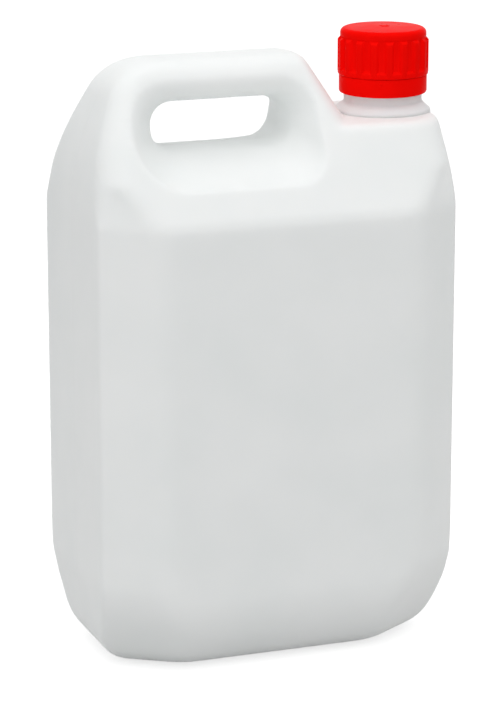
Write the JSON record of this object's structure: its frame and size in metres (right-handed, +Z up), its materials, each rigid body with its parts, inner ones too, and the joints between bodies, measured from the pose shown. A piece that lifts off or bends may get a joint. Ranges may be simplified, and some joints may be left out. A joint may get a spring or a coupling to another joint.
{
  "type": "plastic jerrycan",
  "caption": "Blow-moulded plastic jerrycan with a hollow through handle, a corner neck and a ribbed screw cap on a tamper-evident band.",
  "frame": {"origin": "centre of the base on the plane that the can stands on", "axes": "+Z up, +X along the width from the handle towards the neck, -Y towards the front"},
  "size_m": [0.1901, 0.122, 0.3148],
  "materials": {
    "natural_polyethylene": "blown natural polyethylene, slightly translucent, matte",
    "red_cap_plastic": "injection-moulded red polyethylene, satin gloss",
    "foam_liner": "white foamed polyethylene sealing disc"
  },
  "bodies": {
    "can": {"body": "natural_polyethylene", "tamper_band": "red_cap_plastic"},
    "seal": {"liner": "foam_liner"},
    "closure": {"cap": "red_cap_plastic"}
  },
  "joints": [
    {"name": "cap_lift", "type": "slide", "parent": "can", "child": "seal", "axis": [0, 0, 1], "range_m": [0, 0.024]},
    {"name": "cap_turn", "type": "hinge", "parent": "seal", "child": "closure", "pos_m": [0.072, 0, 0.3], "axis": [0, 0, 1], "range_deg": [0, 1440]}
  ],
  "couplings": [
    {"joint": "cap_turn", "follows": "cap_lift", "rad_per_m": 1047.2}
  ]
}
